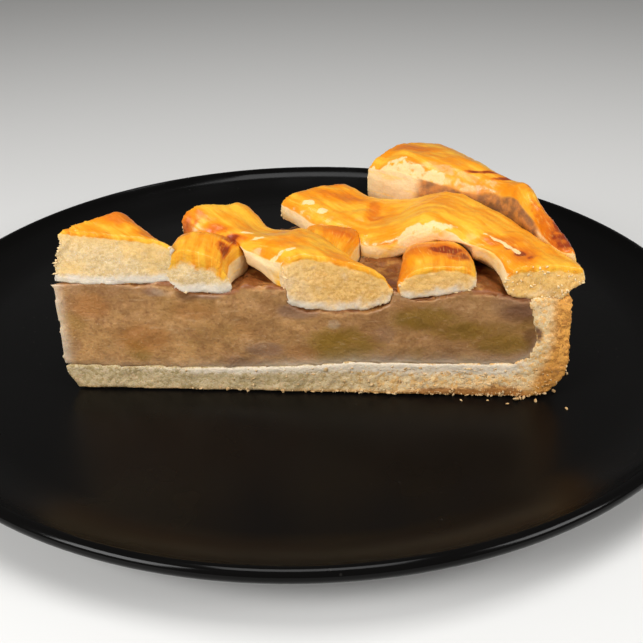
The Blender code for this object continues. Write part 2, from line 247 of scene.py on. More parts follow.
# The slice's whole length in mm, in the steps that an edge's height is read at
LENGTH_STEPS = 140
LEAST_WEIGHT = 0.004
# Scorched places at the foot of the near cut, and where juice soaked into the wall:
# u, z, half length, half height in mm, and a strength where it isn't 1
SCORCHED_FOOT = ((103, 0.2, 15, 2.6), (114, 0.4, 9, 3.4), (127, 6, 5, 6, 0.3))
JUICE_STAINS = ((121.6, 18.8, 2.8, 3.2),)
CRUST_PALE = (0.64, 0.49, 0.27, 1.0)
CRUST_DULL = (0.43, 0.315, 0.14, 1.0)
CRUST_CREAM = (0.90, 0.67, 0.36, 1.0)
CRUST_GOLD = (0.92, 0.43, 0.08, 1.0)
CRUST_BROWN = (0.37, 0.135, 0.02, 1.0)
CRUST_SEAM = (0.82, 0.69, 0.52, 1.0)
CRUST_STAIN = (0.15, 0.05, 0.016, 1.0)
CRUST_GRAINS = 1100.0
CRUST_LOOK = {"Subsurface Weight": 0.12, "Subsurface Radius": (1.0, 0.6, 0.3), "Subsurface Scale": 0.0015}


def remeshed_copy(node, name, voxel):
    """A merged copy of a solid, with an even mesh that can take fine relief."""
    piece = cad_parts[node].copy()
    piece.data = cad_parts[node].data.copy()
    piece.name = name
    piece.parent = None
    for key in list(piece.keys()):
        del piece[key]
    bpy.context.collection.objects.link(piece)
    bpy.ops.object.select_all(action="DESELECT")
    piece.select_set(True)
    bpy.context.view_layer.objects.active = piece
    bpy.ops.object.mode_set(mode="EDIT")
    bpy.ops.mesh.select_all(action="SELECT")
    bpy.ops.mesh.remove_doubles(threshold=0.00001)
    bpy.ops.object.mode_set(mode="OBJECT")
    apply_modifier(piece, "REMESH", mode="VOXEL", voxel_size=voxel)
    apply_modifier(piece, "SMOOTH", factor=0.5, iterations=2)
    piece.data.shade_smooth()
    return piece


def apply_modifier(piece, kind, **settings):
    """Add a modifier, set it up and apply it at once."""
    bpy.context.view_layer.objects.active = piece
    modifier = piece.modifiers.new(kind.title(), kind)
    for key, value in settings.items():
        setattr(modifier, key, value)
    bpy.ops.object.modifier_apply(modifier=modifier.name)


def pie_places(mesh):
    """Each vertex as u along the near cut, v across the slice and z above the crust, in mm."""
    flat = np.empty(len(mesh.vertices) * 3)
    mesh.vertices.foreach_get("co", flat)
    place = (flat.reshape(-1, 3) - TIP) * 1000.0
    u = place[:, 0] * math.cos(YAW) + place[:, 1] * math.sin(YAW)
    v = -place[:, 0] * math.sin(YAW) + place[:, 1] * math.cos(YAW)
    return u, v, place[:, 2]


def pie_normals(mesh):
    """Each vertex normal in the same directions."""
    flat = np.empty(len(mesh.vertices) * 3)
    mesh.vertex_normals.foreach_get("vector", flat)
    normal = flat.reshape(-1, 3)
    along = normal[:, 0] * math.cos(YAW) + normal[:, 1] * math.sin(YAW)
    across = -normal[:, 0] * math.sin(YAW) + normal[:, 1] * math.cos(YAW)
    return along, across, normal[:, 2]


def smooth_step(value, low, high):
    """From 0 at the low limit to 1 at the high one, easing at both."""
    share = np.clip((value - low) / (high - low), 0.0, 1.0)
    return share * share * (3.0 - 2.0 * share)


def cut_share(mesh):
    """How much each vertex lies on one of the two knife cuts, and on the near one alone."""
    u, v, _ = pie_places(mesh)
    along, across, _ = pie_normals(mesh)
    near = smooth_step(-across, *CUT_FACING) * (np.abs(v) < CUT_REACH)
    far_depth = -u * math.sin(SLICE_ANGLE) + v * math.cos(SLICE_ANGLE)
    far_facing = -along * math.sin(SLICE_ANGLE) + across * math.cos(SLICE_ANGLE)
    far = smooth_step(far_facing, *CUT_FACING) * (np.abs(far_depth) < CUT_REACH)
    return np.maximum(near, far), near


def set_group(piece, name, weights):
    """A vertex group from an array of weights, named apart from the piece's attributes."""
    group = piece.vertex_groups.new(name=name + "_area")
    for index in np.flatnonzero(weights > LEAST_WEIGHT):
        group.add([int(index)], float(weights[index]), "REPLACE")


def set_attribute(mesh, name, values):
    """A value for each vertex that a material can read."""
    layer = mesh.attributes.new(name, "FLOAT", "POINT")
    layer.data.foreach_set("value", np.asarray(values, dtype=np.float32))


def relief(piece, name, kind, size, depth, group="", middle=0.5):
    """Push the surface in and out by a procedural texture, held to a vertex group."""
    texture = bpy.data.textures.new(name, kind)
    texture.noise_scale = size
    apply_modifier(
        piece, "DISPLACE", texture=texture, texture_coords="LOCAL",
        strength=depth, mid_level=middle, vertex_group=group + "_area" if group else "",
    )


def push(piece, group, distance, direction="NORMAL"):
    """Move a group's surface by one distance, as far as each vertex belongs to it."""
    apply_modifier(
        piece, "DISPLACE", direction=direction, strength=distance, mid_level=0.0,
        vertex_group=group + "_area",
    )


def edge_level(place, level, wanted, highest):
    """Lowest or highest wanted level over each millimetre of place, read back at every vertex."""
    if not wanted.any():
        return np.full(len(level), level.max() if highest else level.min())
    steps = np.clip(place.astype(int), 0, LENGTH_STEPS - 1)
    found = np.full(LENGTH_STEPS, -np.inf if highest else np.inf)
    pick = np.maximum.at if highest else np.minimum.at
    pick(found, steps[wanted], level[wanted])
    known = np.flatnonzero(np.isfinite(found))
    return np.interp(place, known + 0.5, found[known])


def swing(tree, pattern, middle, amount):
    """How far a pattern lies above or below its middle, times an amount: it frays an edge."""
    return times(tree, calc(tree, "SUBTRACT", pattern, middle), amount)


def crumb_group():
    """Baked crumb: small grains with pits between them, as a height and a shade."""
    tree = bpy.data.node_groups.new("baked_crumb", "ShaderNodeTree")
    tree.interface.new_socket("Place", in_out="INPUT", socket_type="NodeSocketVector")
    tree.interface.new_socket("Grains per metre", in_out="INPUT", socket_type="NodeSocketFloat")
    tree.interface.new_socket("Height", in_out="OUTPUT", socket_type="NodeSocketFloat")
    tree.interface.new_socket("Shade", in_out="OUTPUT", socket_type="NodeSocketFloat")
    given = add(tree, "NodeGroupInput")
    place, scale = given.outputs[0], given.outputs[1]
    grain = add(tree, "ShaderNodeTexVoronoi", {"Vector": place, "Scale": scale})
    dust = noise(tree, place, times(tree, scale, 2.6), 3.0)
    lump = noise(tree, place, times(tree, scale, 0.35), 4.0)
    dome = calc(tree, "SUBTRACT", 1.0, grain.outputs["Distance"])
    height = plus(tree, times(tree, dome, 0.45), times(tree, dust, 0.55))
    tone = add(tree, "ShaderNodeSeparateColor", {0: grain.outputs["Color"]}).outputs[0]
    shade = plus(tree, times(tree, tone, 0.3), times(tree, dust, 0.4))
    shade = plus(tree, shade, times(tree, lump, 0.3))
    height = plus(tree, height, times(tree, lump, 0.8))
    add(tree, "NodeGroupOutput", {0: height, 1: shade})
    return tree


crumb = crumb_group()


def add_crumb(tree, place, grains):
    """The crumb's height and shade, at so many grains to the metre."""
    node = add(tree, "ShaderNodeGroup", node_tree=crumb)
    tree.links.new(place, node.inputs[0])
    node.inputs[1].default_value = grains
    return node.outputs[0], node.outputs[1]


def read(tree, name):
    """The value that a piece's vertices carry under this name."""
    return add(tree, "ShaderNodeAttribute", attribute_name=name).outputs["Fac"]


def frayed(tree, name, fray):
    """The value under this name with something added that frays its edge."""
    return plus(tree, read(tree, name), fray)


def patches(first, second, spots):
    """Soft oval patches on two coordinates: centres, half sizes and, where it isn't 1, a strength."""
    total = np.zeros_like(first)
    for a, b, half_a, half_b, *strength in spots:
        far = np.hypot((first - a) / half_a, (second - b) / half_b)
        total = np.maximum(total, (1.0 - smooth_step(far, 0.35, 1.25)) * (strength[0] if strength else 1.0))
    return total


def lay(tree, below, mask, low, high, most, colour):
    """Lay this much of a colour over what is below, where a mask passes its limits."""
    return blend(tree, ease(tree, mask, low, high, 0.0, most), below, colour)


def shape_crust():
    """The base and the wall: grainy where the tin was, pitted where the knife went."""
    piece = remeshed_copy("crust", "crust_shortcrust", CRUST_VOXEL)
    mesh = piece.data
    u, v, z = pie_places(mesh)
    radius = np.hypot(u, v)
    cut, near = cut_share(mesh)
    bottom = 1.0 - smooth_step(z, 0.1, 1.0)
    skin = smooth_step(radius, *np.subtract(PIE_RADIUS, SKIN_DEPTHS)) * (1.0 - cut)
    top_line = edge_level(u, z, (near > 0.5) & (radius < 118.0), True)
    by_seam = cut * (1.0 - smooth_step(radius, *SEAM_FADE)) * (0.25 + 0.75 * smooth_step(u, 15.0, 45.0))
    seam = np.exp(-np.abs(top_line - z) / SEAM_REACH) * by_seam
    damp_depth = 2.4 + 2.8 * smooth_step(u, 50.0, 90.0)
    damp = (1.0 - smooth_step(np.abs(top_line - z) / damp_depth, 0.1, 1.0)) * by_seam
    inner_line = edge_level(z, radius, (near > 0.5) & (z > 10.0), False)
    inner_seam = np.exp(-np.abs(radius - inner_line) / INNER_SEAM_REACH) * cut * smooth_step(z, 8.5, 11.0)
    close = np.maximum(seam, inner_seam)
    set_group(piece, "wall", skin * (1.0 - bottom))
    rough = cut * (0.45 + 0.55 * smooth_step(u, 40.0, 95.0)) * (1.0 - bottom) * (1.0 - close)
    set_group(piece, "cut", rough)
    set_group(piece, "loose", np.maximum(skin, cut) * (1.0 - bottom) * (1.0 - close))
    set_group(piece, "seam", close)
    set_group(piece, "tip", smooth_step(z, 0.0, 6.0) - smooth_step(u, *TIP_ENDS))
    brim = smooth_step(z, *BRIM_HEIGHTS) * (1.0 - cut)
    lining = 1.0 - smooth_step(radius, *np.subtract(PIE_RADIUS, LINING_DEPTHS))
    set_group(piece, "brim", np.clip(brim + 0.4 * lining * (1.0 - cut) * (1.0 - bottom), 0.0, 1.0))
    push(piece, "brim", BRIM_SWELL)
    push(piece, "seam", SEAM_SWELL)
    for name, facts in CRUST_RELIEF.items():
        relief(piece, name, *facts)
    push(piece, "tip", CRUST_TIP_PULL, "X")
    set_attribute(mesh, "damp", damp)
    set_attribute(mesh, "toasted", toasting(radius, z))
    set_attribute(mesh, "rim_side", smooth_step(u, 55.0, 105.0))
    set_attribute(mesh, "scorched", patches(u, z, SCORCHED_FOOT))
    set_attribute(mesh, "stained", patches(u, z, JUICE_STAINS) * near)
    return piece


def toasting(radius, z):
    """Golden towards the tin: the wall's outside and the outer part of the base."""
    corner = 3.4 * (1.0 - smooth_step(z, 3.0, 15.0))
    outside = smooth_step(radius + corner, PIE_RADIUS - 7.0, PIE_RADIUS - 0.5)
    base = smooth_step(radius, 70.0, 112.0) * (1.0 - smooth_step(z, 0.3, 4.2)) * 0.72
    underneath = (1.0 - smooth_step(z, 0.2, 2.2)) * (0.35 + 0.4 * smooth_step(radius, 40.0, 100.0))
    return np.clip(np.maximum(np.maximum(outside, base), underneath), 0.0, 1.0)


def shortcrust():
    """Pale crumb where it was cut, gold to brown where it was baked against the tin."""
    material, tree, shader, place = new_material("baked_shortcrust")
    height, shade = add_crumb(tree, place, CRUST_GRAINS)
    inside = blend(tree, ease(tree, shade, 0.36, 0.6), CRUST_DULL, CRUST_PALE)
    warm = blend(tree, ease(tree, shade, 0.3, 0.6, 0.2, 1.0), CRUST_GOLD, CRUST_CREAM)
    inside = blend(tree, times(tree, read(tree, "rim_side"), 0.9), inside, warm)
    outside = blend(tree, ease(tree, shade, 0.32, 0.62, 0.12, 1.0), CRUST_BROWN, CRUST_GOLD)
    drift = noise(tree, place, 120.0, 4.0)
    toast = frayed(tree, "toasted", swing(tree, drift, 0.5, 0.5))
    speck = noise(tree, place, 1900.0, 2.0)
    inside = lay(tree, inside, speck, 0.58, 0.74, 0.5, CRUST_SEAM)
    inside = lay(tree, inside, speck, 0.42, 0.28, 0.5, CRUST_BROWN)
    colour = blend(tree, ease(tree, toast, 0.1, 0.9), inside, outside)
    scorch = frayed(tree, "scorched", swing(tree, shade, 0.48, 2.0))
    colour = lay(tree, colour, scorch, 0.15, 0.8, 0.9, CRUST_BROWN)
    damp = frayed(tree, "damp", swing(tree, shade, 0.48, 1.2))
    colour = lay(tree, colour, damp, 0.15, 0.9, 0.95, CRUST_SEAM)
    stain = frayed(tree, "stained", calc(tree, "SUBTRACT", shade, 0.5))
    colour = lay(tree, colour, stain, 0.15, 0.9, 0.9, CRUST_STAIN)
    set_all_over(shader, CRUST_LOOK)
    bump = add(tree, "ShaderNodeBump", {"Height": height, "Strength": 0.6, "Distance": 0.0004})
    wire(tree, shader, base=colour, rough=ease(tree, shade, 0.2, 0.8, 0.9, 0.7), normal=bump.outputs[0])
    return material


crust = shape_crust()
finish_piece(crust, shortcrust(), ["crust"])

# The filling
# Apple pieces cooked down in their thickened juice, packed level with the wall and
# sliced clean by the knife: brown, moist and slightly clear, with greener firm pieces.
FILLING_VOXEL = 0.00056
FILLING_SWELL = 0.0007
FILLING_TIP_PULL = -0.0026
FILLING_TIP_ROUNDS = 8
SOFTENING = 0.6
FILLING_RELIEF = {
    "filling_pieces": ("VORONOI", 0.011, -0.0022, "top", 0.3),
    "filling_pulp": ("CLOUDS", 0.0026, 0.0013, "top"),
    "filling_smear": ("CLOUDS", 0.003, 0.0005, "cut"),
    "filling_fibre": ("CLOUDS", 0.0012, 0.00025, "cut"),
}
# Packed up under the tip's strip: u, v, half length, half width in mm, and how far it rises
PACKED_PLACE = ((10, 3, 22, 12),)
PACKED_HEIGHTS = (24, 30)
PACKED_RISE = 0.001
FILLING_TAN = (0.62, 0.335, 0.12, 1.0)
FILLING_BROWN = (0.31, 0.145, 0.05, 1.0)
FILLING_DARK = (0.14, 0.052, 0.017, 1.0)
FILLING_GREEN = (0.27, 0.15, 0.006, 1.0)
FILLING_GREY = (0.28, 0.155, 0.10, 1.0)
FILLING_WARM = (0.40, 0.15, 0.03, 1.0)
FILLING_PALE = (0.60, 0.43, 0.27, 1.0)
FILLING_FLECK = (0.70, 0.47, 0.26, 1.0)
# Dark juice on the filling's open top, darkened further as painted shade between and under the strips; also
# the dark end of a strip's brown side band
FILLING_JUICE_AND_SHADE = (0.21, 0.056, 0.007, 1.0)
FILLING_SYRUP = (0.46, 0.20, 0.04, 1.0)
FILLING_LOOK = {
    "Subsurface Weight": 0.2,
    "Subsurface Radius": (1.0, 0.5, 0.2),
    "Subsurface Scale": 0.002,
    "Coat Roughness": 0.27,
    "Specular IOR Level": 0.35,
}
# Apple pieces on the near cut, firm green, grey bruised, warm brown and pale soft ones:
# u, z, half length, half height in mm, and a strength where it isn't 1
APPLE_PIECES = {
    "green": (
        (73, 14, 13, 8.5), (94, 23, 12, 5), (103, 19.5, 12, 4.5),
        (114, 16, 12, 4.5), (36, 17, 8, 8, 0.45), (18, 20, 6, 6, 0.3),
    ),
    "grey": (
        (24, 29, 4, 1.6), (38, 28.6, 5, 1.4), (61, 24.5, 8, 3),
        (52, 13, 7, 3), (119, 26, 6, 2.5),
    ),
    "warm": (
        (20, 16, 9, 5.5), (8, 25, 6, 4.5), (34, 24.5, 9, 4, 0.7),
        (62, 12, 6, 3.5, 0.8), (89, 27, 8, 3, 0.6), (47, 19, 5, 4, 0.5),
    ),
    "pale": (
        (70.5, 21, 2.4, 2), (50, 14.5, 7, 3, 0.6), (26, 29, 3.5, 1.4, 0.8),
        (101, 26.5, 5, 2, 0.5), (30, 19, 5, 2.5, 0.45), (84, 11.5, 9, 1.8, 0.5),
    ),
}
# Each kind's colour, the limits that it shows between, and how much of it at most
APPLE_COLOURS = {
    "green": (FILLING_GREEN, 0.3, 1.1, 0.85),
    "grey": (FILLING_GREY, 0.3, 1.1, 0.7),
    "warm": (FILLING_WARM, 0.2, 1.1, 0.6),
    "pale": (FILLING_PALE, 0.3, 1.2, 0.6),
}
# The darkest cooked places, in the same measures, most of them at the crust end
DARK_PIECES = (
    (124, 17, 6, 9), (121.5, 18.5, 4, 3.8), (118, 25, 8, 4), (33, 29, 4, 2.5),
    (46, 9, 8, 2.5, 0.7), (14, 29.5, 14, 2.5, 0.5), (62, 26, 14, 3, 0.5),
    (12, 12, 7, 4, 0.25), (56, 14, 5, 6, 0.4),
)


def soften(piece, group, rounds):
    """Smooth a group's surface in so many rounds."""
    apply_modifier(piece, "SMOOTH", factor=SOFTENING, iterations=rounds, vertex_group=group + "_area")


def shape_filling():
    """Lumpy on top, smeared where it was cut, and swollen against the crust."""
    piece = remeshed_copy("filling", "filling_apple", FILLING_VOXEL)
    mesh = piece.data
    u, v, z = pie_places(mesh)
    cut, near = cut_share(mesh)
    _, _, up = pie_normals(mesh)
    top = smooth_step(up, 0.3, 0.8)
    set_group(piece, "top", top)
    set_group(piece, "cut", cut)
    set_group(piece, "inner", 1.0 - cut)
    set_group(piece, "tip", 1.0 - smooth_step(u, *TIP_ENDS))
    for name, facts in FILLING_RELIEF.items():
        relief(piece, name, *facts)
    push(piece, "inner", FILLING_SWELL)
    soften(piece, "tip", FILLING_TIP_ROUNDS)
    push(piece, "tip", FILLING_TIP_PULL, "X")
    set_group(piece, "packed", patches(u, v, PACKED_PLACE) * smooth_step(z, *PACKED_HEIGHTS))
    push(piece, "packed", PACKED_RISE, "Z")
    for kind, pieces in APPLE_PIECES.items():
        set_attribute(mesh, kind, patches(u, z, pieces) * near)
    darker = 0.5 * smooth_step(u, 15.0, 105.0)
    set_attribute(mesh, "dark", np.maximum(patches(u, z, DARK_PIECES), darker) * near)
    set_attribute(mesh, "open", top)
    # Painted highlight: the blunt tip is made paler, as if light from the left catches it
    set_attribute(mesh, "tip", 1.0 - smooth_step(u, 0.3, 3.4))
    foot = np.exp(-np.abs(z - edge_level(u, z, near > 0.5, False)) / 1.3)
    set_attribute(mesh, "foot", foot * near * (0.2 + 0.8 * smooth_step(u, 20.0, 60.0)))
    return piece


def streaks(tree, place, scales, detail):
    """A cloudy pattern of its own size along each axis."""
    stretched = add(tree, "ShaderNodeMapping", {"Vector": place, "Scale": scales}).outputs[0]
    return noise(tree, stretched, 1.0, detail)


def apple_filling():
    """Brown pulp with its pieces, flecks and fibres, pale along the crust, with a painted highlight on its
    tip and dark syrup on top that is partly painted shade.
    """
    material, tree, shader, place = new_material("cooked_apple")
    wide = noise(tree, place, 75.0, 3.0)
    soft = noise(tree, place, 260.0, 5.0, 0.6)
    fine = noise(tree, place, 1400.0, 3.0, 0.6)
    pieces = add(tree, "ShaderNodeTexVoronoi", {"Vector": place, "Scale": 130.0}, feature="SMOOTH_F1")
    tone = add(tree, "ShaderNodeSeparateColor", {0: pieces.outputs["Color"]})
    small = noise(tree, place, 700.0, 3.0)
    mottle = plus(tree, times(tree, wide, 0.4), times(tree, soft, 0.35))
    mottle = plus(tree, mottle, times(tree, small, 0.25))
    body = blend(tree, ease(tree, mottle, 0.33, 0.67), FILLING_BROWN, FILLING_TAN)
    body = blend(tree, times(tree, ease(tree, tone.outputs[0], 0.6, 0.85), 0.4), body, FILLING_GREY)
    body = blend(tree, times(tree, ease(tree, tone.outputs[1], 0.6, 0.9), 0.5), body, FILLING_GREEN)
    drift = swing(tree, mottle, 0.5, 2.2)
    for kind, (colour, low, high, most) in APPLE_COLOURS.items():
        body = lay(tree, body, frayed(tree, kind, drift), low, high, most, colour)
    body = lay(tree, body, fine, 0.46, 0.26, 0.3, FILLING_DARK)
    body = lay(tree, body, fine, 0.6, 0.78, 0.45, FILLING_FLECK)
    fibre = streaks(tree, place, (260.0, 260.0, 1000.0), 2.0)
    body = lay(tree, body, fibre, 0.6, 0.74, 0.22, FILLING_FLECK)
    body = blend(tree, times(tree, read(tree, "foot"), 0.6), body, CRUST_SEAM)
    # Painted highlight on the blunt tip, in the seam's pale colour
    body = blend(tree, times(tree, read(tree, "tip"), 0.6), body, CRUST_SEAM)
    dark = frayed(tree, "dark", times(tree, drift, 0.4))
    body = lay(tree, body, dark, 0.0, 1.2, 0.8, FILLING_DARK)
    # Painted shade: the open top, seen only between and under the strips, is mostly dark juice, with
    # lighter syrup in patches
    juice_and_shade = blend(tree, ease(tree, soft, 0.48, 0.7), FILLING_JUICE_AND_SHADE, FILLING_SYRUP)
    top = read(tree, "open")
    body = blend(tree, times(tree, top, 0.9), body, juice_and_shade)
    set_all_over(shader, FILLING_LOOK)
    rounded = times(tree, top, calc(tree, "SUBTRACT", 1.0, top))
    wet = ease(tree, soft, 0.4, 0.65, 0.15, 0.7)
    shine = calc(tree, "SUBTRACT", wet, times(tree, rounded, 3.0))
    height = plus(tree, times(tree, fine, 0.7), soft)
    bump = add(tree, "ShaderNodeBump", {"Height": height, "Strength": 0.5, "Distance": 0.0006})
    rough = ease(tree, soft, 0.3, 0.7, 0.4, 0.6)
    wire(tree, shader, base=body, rough=rough, coat=shine, normal=bump.outputs[0])
    return material


filling = shape_filling()
finish_piece(filling, apple_filling(), ["filling"])

# The lattice
# Strips cut from rolled shortcrust with a knife, woven loosely over the apple and
# brushed with egg: glazed gold to brown on top, pale and bare on the sides and cuts.
STRIP_VOXEL = 0.00042
STRIP_SMOOTHING = 16
STRIP_SWELL = 0.0003
# The highest strip stays inside its solid's height: it gets no relief above this, in mm
TOP_HEIGHT = 47.0
# What lies within this many mm of the near cut's plane takes its heights from that cut
NEAR_SIDE = 2.0
# The brush reached a surface that faces up this much
GLAZED_FACING = (0.12, 0.5)
# A cut whose glaze runs down by more than this many mm is rounded, in so many rounds
ROUNDED_FROM = 2.0
ROUNDING = 40
GOLD = (0.87, 0.45, 0.032, 1.0)
ORANGE = (0.80, 0.265, 0.005, 1.0)
AMBER = (0.60, 0.13, 0.005, 1.0)
SCORCH = (0.24, 0.026, 0.003, 1.0)
GLAZE_LIGHT = (0.92, 0.59, 0.15, 1.0)
SIDE_BROWN = (0.55, 0.17, 0.014, 1.0)
# Pale colour of bare dough, also used for the painted highlight streaks on the glaze
BARE_AND_HIGHLIGHT = (0.85, 0.62, 0.31, 1.0)
SIDE_PALE = (0.81, 0.59, 0.31, 1.0)
CUT_GOLD = (0.95, 0.57, 0.15, 1.0)
CUT_PIT = (0.45, 0.24, 0.07, 1.0)
CUT_CREAM = (0.82, 0.60, 0.31, 1.0)
CUT_SHADE = (0.69, 0.48, 0.22, 1.0)
CUT_WHITE = (0.80, 0.70, 0.57, 1.0)
CUT_TOASTED = (0.72, 0.35, 0.06, 1.0)
CUT_AMBER = (0.88, 0.50, 0.13, 1.0)
DOUGH_GRAINS = 1500.0
DOUGH_LOOK = {
    "Subsurface Weight": 0.12,
    "Subsurface Radius": (1.0, 0.55, 0.2),
    "Subsurface Scale": 0.002,
    "Specular IOR Level": 0.3,
    "Coat Roughness": 0.18,
}
# A push is full up to this share of its reach and has faded out at the other
PUSH_FULL = 0.2
PUSH_END = 1.2
STRIP_TIP_PULL = -0.0012
# Texture's grain size, depth in metres and group of each relief
STRIP_RELIEF = {
    "frayed": (0.0011, 0.0009, "edge"),
    "lumps": (0.006, 0.0008, "below_top"),
    "ripple": (0.0026, 0.0004, "glazed"),
    "crumb": (0.0009, 0.00028, "crumb"),
}
# Each strip in the pie's frame, in mm
# line: its centre line. drip: how far the glaze runs down over its cuts
# pushed: u, v, z, reach, axis and distance of each place where it sags or bulges
# coated (glaze on a side), scorched, orange, the pale marks and the brown side bands: spots of u, v, half
# length along u, half width along v, and a strength where it isn't 1. glazed_cut: the same in u and z
# The pale marks are bare dough, and on strip_over_2 they are painted highlight streaks along the glaze.
# The brown side bands darken a strip's side: a juice stain on strip_under_3, a brown band on strip_over_4.
# The pale line: its points and width, a bare fold on strip_over_4 and a painted highlight along the crease
# on
# strip_over_3. bare_above: the height that the pale marks start from
STRIPS = {
    "strip_under_1": {
        "line": ((38, -10), (38, 45)),
        "drip": 4.6,
        "pushed": ((30, 3, 36, 6, "X", -1.0), (47, 3.5, 34, 8, "X", -3.4), (38, 12, 38, 8, "Z", 0.8)),
        "scorched": ((43, 5.6, 3.4, 2.6), (43, 10.4, 2.6, 3)),
        "orange": ((37, 14, 9, 4.5),),
    },
    "strip_under_2": {
        "line": ((69, 0), (69, 66)),
        "drip": 1.0,
        "pushed": ((77, 12, 33, 10, "X", -3.0),),
        "scorched": ((71, 20, 5, 1.5, 0.55),),
        "orange": ((70, 24, 7, 8),),
    },
    "strip_under_3": {
        "line": ((98, -10), (98, 90)),
        "drip": 1.3,
        "pushed": (
            (98, 8, 38, 9, "Z", 0.5), (89, 3, 31, 7, "X", -3.2), (98, 15, 36.5, 8, "Z", 1.7),
            (91, 11, 36, 7, "X", -2.4), (92, 9, 37, 6, "Z", 0.7),
        ),
        "coated": ((88.5, 4, 3.5, 9), (88.5, 12, 3.5, 5)),
        "glazed_cut": ((86.8, 33, 3.6, 6),),
        "scorched": (
            (99.5, 8.8, 5.5, 2.4), (101.8, 6.2, 3.4, 3.6, 0.85), (95.5, 11, 3, 2, 0.6),
            (87, 3, 2.5, 5, 0.45),
        ),
        "orange": ((97, 9, 9, 3.5), (89.5, 6, 2.5, 8)),
        "darker_side": ((89, 3, 1.8, 4),),
    },
    "strip_over_1": {
        "line": ((-8, 16), (27, -10)),
        "drip": 1.0,
        "pushed": ((-1, 0.5, 45, 7, "X", 2.4), (17, 12, 45, 10, "Z", 2.1), (26, 1, 35, 6, "X", 1.6)),
        "orange": ((14, 8, 9, 4), (24, 3, 5, 3)),
    },
    "strip_over_2": {
        "line": ((25, 36), (36, 27), (47, 19), (60, 12), (72, 0), (86, -11)),
        "drip": 1.4,
        "pushed": (
            (53, 22, 40, 9, "Z", -2.4), (31, 24, 40, 8, "Z", 1.6), (47, 8, 31, 7, "Z", 2.4),
            (54, 4.5, 31, 6, "Z", 2.0),
        ),
        "coated": ((30, 20, 7, 3), (38, 16, 7, 3), (44, 12.5, 4, 3)),
        "scorched": ((43.4, 12.8, 3.2, 1.8), (31, 19, 6, 2.2, 0.62), (37.5, 15.6, 6, 2, 0.62)),
        "orange": ((31, 20.5, 5, 1.8), (38, 16.4, 5, 1.8), (45, 12.4, 4, 1.6), (54, 7.4, 6, 1.8, 0.4)),
        # Pale marks here are painted highlights: thin light streaks along the glaze where light catches it
        "bare_and_highlight": ((46.5, 14.5, 3, 0.8), (50.5, 11, 3, 0.8), (57, 3.4, 5, 0.8)),
    },
    "strip_over_3": {
        "line": ((50, 60), (64, 45), (81, 33), (97, 29), (109, 22), (118, 12), (124, 0), (127, -9)),
        # The pale line here is a painted highlight, a thin light line along the crease where light catches
        # the glaze
        "fold_and_highlight": ((109, 15), (113.5, 11.4), (117, 7)),
        "fold_and_highlight_width": 0.8,
        "drip": 1.6,
        "pushed": (
            (106, 11, 32, 7, "Z", 3.2), (112, 7, 32, 7, "Z", 3.0), (84, 40, 37, 9, "Z", 2.2),
            (98.5, 15, 36.5, 6.5, "Z", 2.2), (131, 2, 29, 5, "X", -3.0), (76.5, 32.5, 37.6, 3.6, "Z", 1.1),
        ),
        "scorched": ((114.8, 9.4, 2, 1.4, 0.7), (117.2, 6.6, 2.2, 2), (119.4, 4.4, 1.4, 1.6, 0.7)),
        "orange": (
            (71, 42, 9, 4), (80, 35, 2.2, 5), (80.5, 30.8, 3, 1.4), (113, 12.5, 7, 2.6),
            (118, 6, 4, 5), (66, 50, 5, 5),
        ),
        "bare_and_highlight": (
            (90.5, 17.4, 4, 1.6), (94, 16.4, 6, 1.5), (98.5, 16.2, 4, 1.5), (61.5, 35.9, 2.4, 1.4),
            (65.9, 33, 2.4, 1.4),
        ),
    },
    "strip_over_4": {
        "line": ((77, 88), (92, 67), (104, 57), (113, 49), (120, 42), (127, 26), (131, 9)),
        "fold_and_highlight": ((79.5, 55), (86, 50.6), (92, 48.4), (99, 45.9)),
        "fold_and_highlight_width": 2.2,
        "drip": 1.0,
        "pushed": ((122, 40, 44, 8, "X", 1.3), (122, 35, 44, 8, "Z", 1.8), (81, 58, 48, 8, "Z", -2.4)),
        "scorched": (
            (111, 46.5, 6, 1.2), (118, 43, 6, 1.4), (124, 37, 3, 1.6), (129, 18, 4.5, 14, 0.78),
            (126, 28, 5, 8, 0.68),
        ),
        "orange": ((127, 20, 5, 12), (92, 60, 12, 3)),
        "bare_and_highlight": ((84.5, 52.2, 6, 2.2, 0.7),),
        "bare_above": 42.2,
        # The near side turns brown along these spots, darkest at their middles
        "darker_side": ((100, 45, 11, 5.5), (109, 41, 9, 5), (116, 36, 9, 6), (121, 29, 7, 10)),
    },
}


def lane_places(u, v, line):
    """Distance along, across and away from a line on the strip, for every vertex."""
    points = np.array(line, dtype=float)
    away = np.full(len(u), np.inf)
    along = np.zeros(len(u))
    across = np.zeros(len(u))
    start = 0.0
    for a, b in zip(points, points[1:]):
        length = float(np.hypot(*(b - a)))
        heading = (b - a) / length
        s = np.clip((u - a[0]) * heading[0] + (v - a[1]) * heading[1], 0.0, length)
        du = u - a[0] - heading[0] * s
        dv = v - a[1] - heading[1] * s
        gap = np.hypot(du, dv)
        closer = gap < away
        away = np.where(closer, gap, away)
        along = np.where(closer, start + s, along)
        across = np.where(closer, heading[0] * dv - heading[1] * du, across)
        start += length
    return along, across, away


def cut_edges(u, v, z, cut):
    """Height of the foot and the top of each knife cut, for every vertex."""
    near = v < NEAR_SIDE
    on_near = (cut > 0.5) & near
    on_far = (cut > 0.5) & ~near
    low = np.where(near, edge_level(u, z, on_near, False), edge_level(u, z, on_far, False))
    high = np.where(near, edge_level(u, z, on_near, True), edge_level(u, z, on_far, True))
    return low, high


